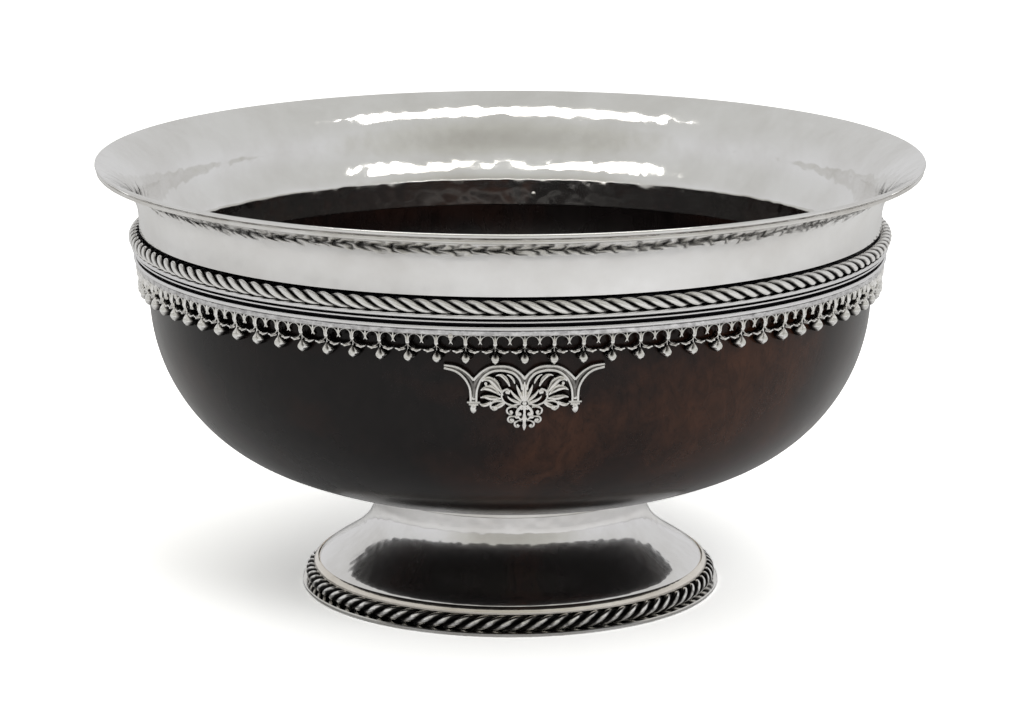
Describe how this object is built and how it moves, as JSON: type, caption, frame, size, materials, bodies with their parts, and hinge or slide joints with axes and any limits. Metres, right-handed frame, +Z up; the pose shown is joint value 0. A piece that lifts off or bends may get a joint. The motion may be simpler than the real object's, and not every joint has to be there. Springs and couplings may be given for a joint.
{
  "type": "mazer bowl",
  "caption": "Round wooden drinking bowl with a flared silver lip, moulded girdle, pierced cresting, one pendant and a spreading silver foot.",
  "frame": {"origin": "middle of the base, on the surface that the foot stands on", "axes": "+Z up along the axis of the bowl, -Y towards the pendant"},
  "size_m": [0.29, 0.29, 0.1534],
  "materials": {
    "maple": "dark waxed turned maple, near black with reddish brown patches",
    "hammered_silver": "raised silver sheet, planished with small hammer facets",
    "cast_silver": "cast and twisted silver, bright on the high points and blackened in the recesses",
    "plain_silver": "polished silver wire, strip and disc"
  },
  "bodies": {
    "root": {"maple_bowl": "maple", "lip_mount": "hammered_silver", "lip_wire": "plain_silver", "girdle_band": "plain_silver", "girdle_rope": "cast_silver", "girdle_bead": "plain_silver", "girdle_ridge": "plain_silver", "girdle_lower_bead": "plain_silver", "cresting": "cast_silver", "mount_rivets": "plain_silver", "pendant": "cast_silver", "pendant_pegs": "plain_silver", "foot_top_ring": "plain_silver", "foot_plate": "plain_silver", "foot_shell": "hammered_silver", "foot_step_ring": "plain_silver", "foot_rope": "cast_silver", "base_flange": "plain_silver", "print_disc": "plain_silver", "print_wire": "cast_silver", "print_rosette": "cast_silver", "print_stud": "plain_silver", "foot_washer": "plain_silver", "foot_nut": "plain_silver"}
  },
  "joints": []
}
